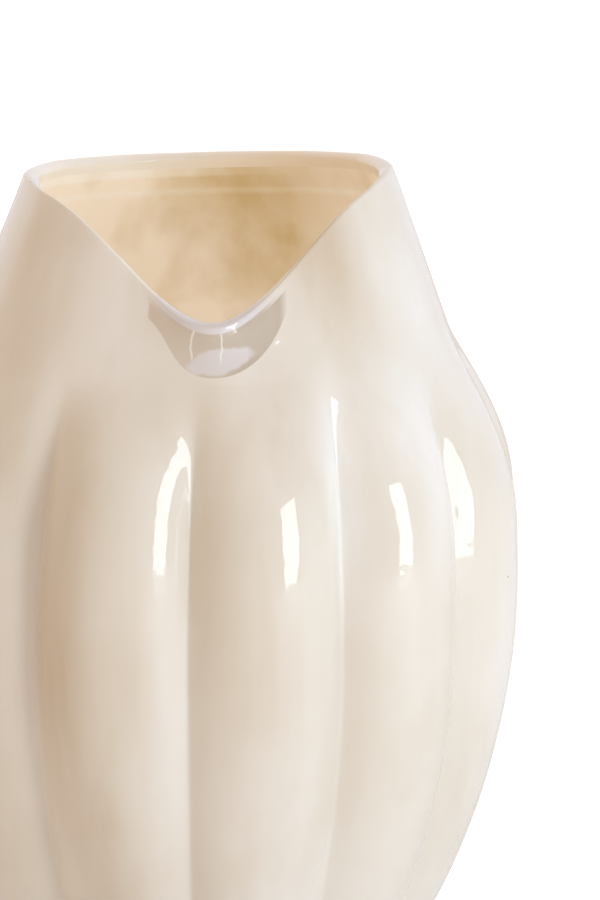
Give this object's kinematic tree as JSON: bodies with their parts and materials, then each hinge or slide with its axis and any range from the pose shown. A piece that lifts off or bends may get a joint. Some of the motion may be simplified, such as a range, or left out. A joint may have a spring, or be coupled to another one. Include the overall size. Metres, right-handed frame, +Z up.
{
  "type": "glass vase",
  "caption": "Blown opal glass vase with bulging melon ribs, a plain conical neck and a mouth that dips at the front to a drawn pouring lip; holds cut flowers.",
  "frame": {"origin": "on the table, under the middle of the foot", "axes": "+Z up along the body's axis, the notch and its pouring lip face -Y, +X to the right seen from the notch"},
  "size_m": [0.2166, 0.2166, 0.2846],
  "materials": {
    "cream_opal": "gloss",
    "warm_opal": "gloss",
    "clear_edge": "gloss"
  },
  "bodies": {
    "root": {"ground_foot": "cream_opal", "outer_casing": "cream_opal", "inner_lining": "warm_opal", "pouring_lip": "cream_opal", "rim_bead": "clear_edge"}
  },
  "joints": []
}
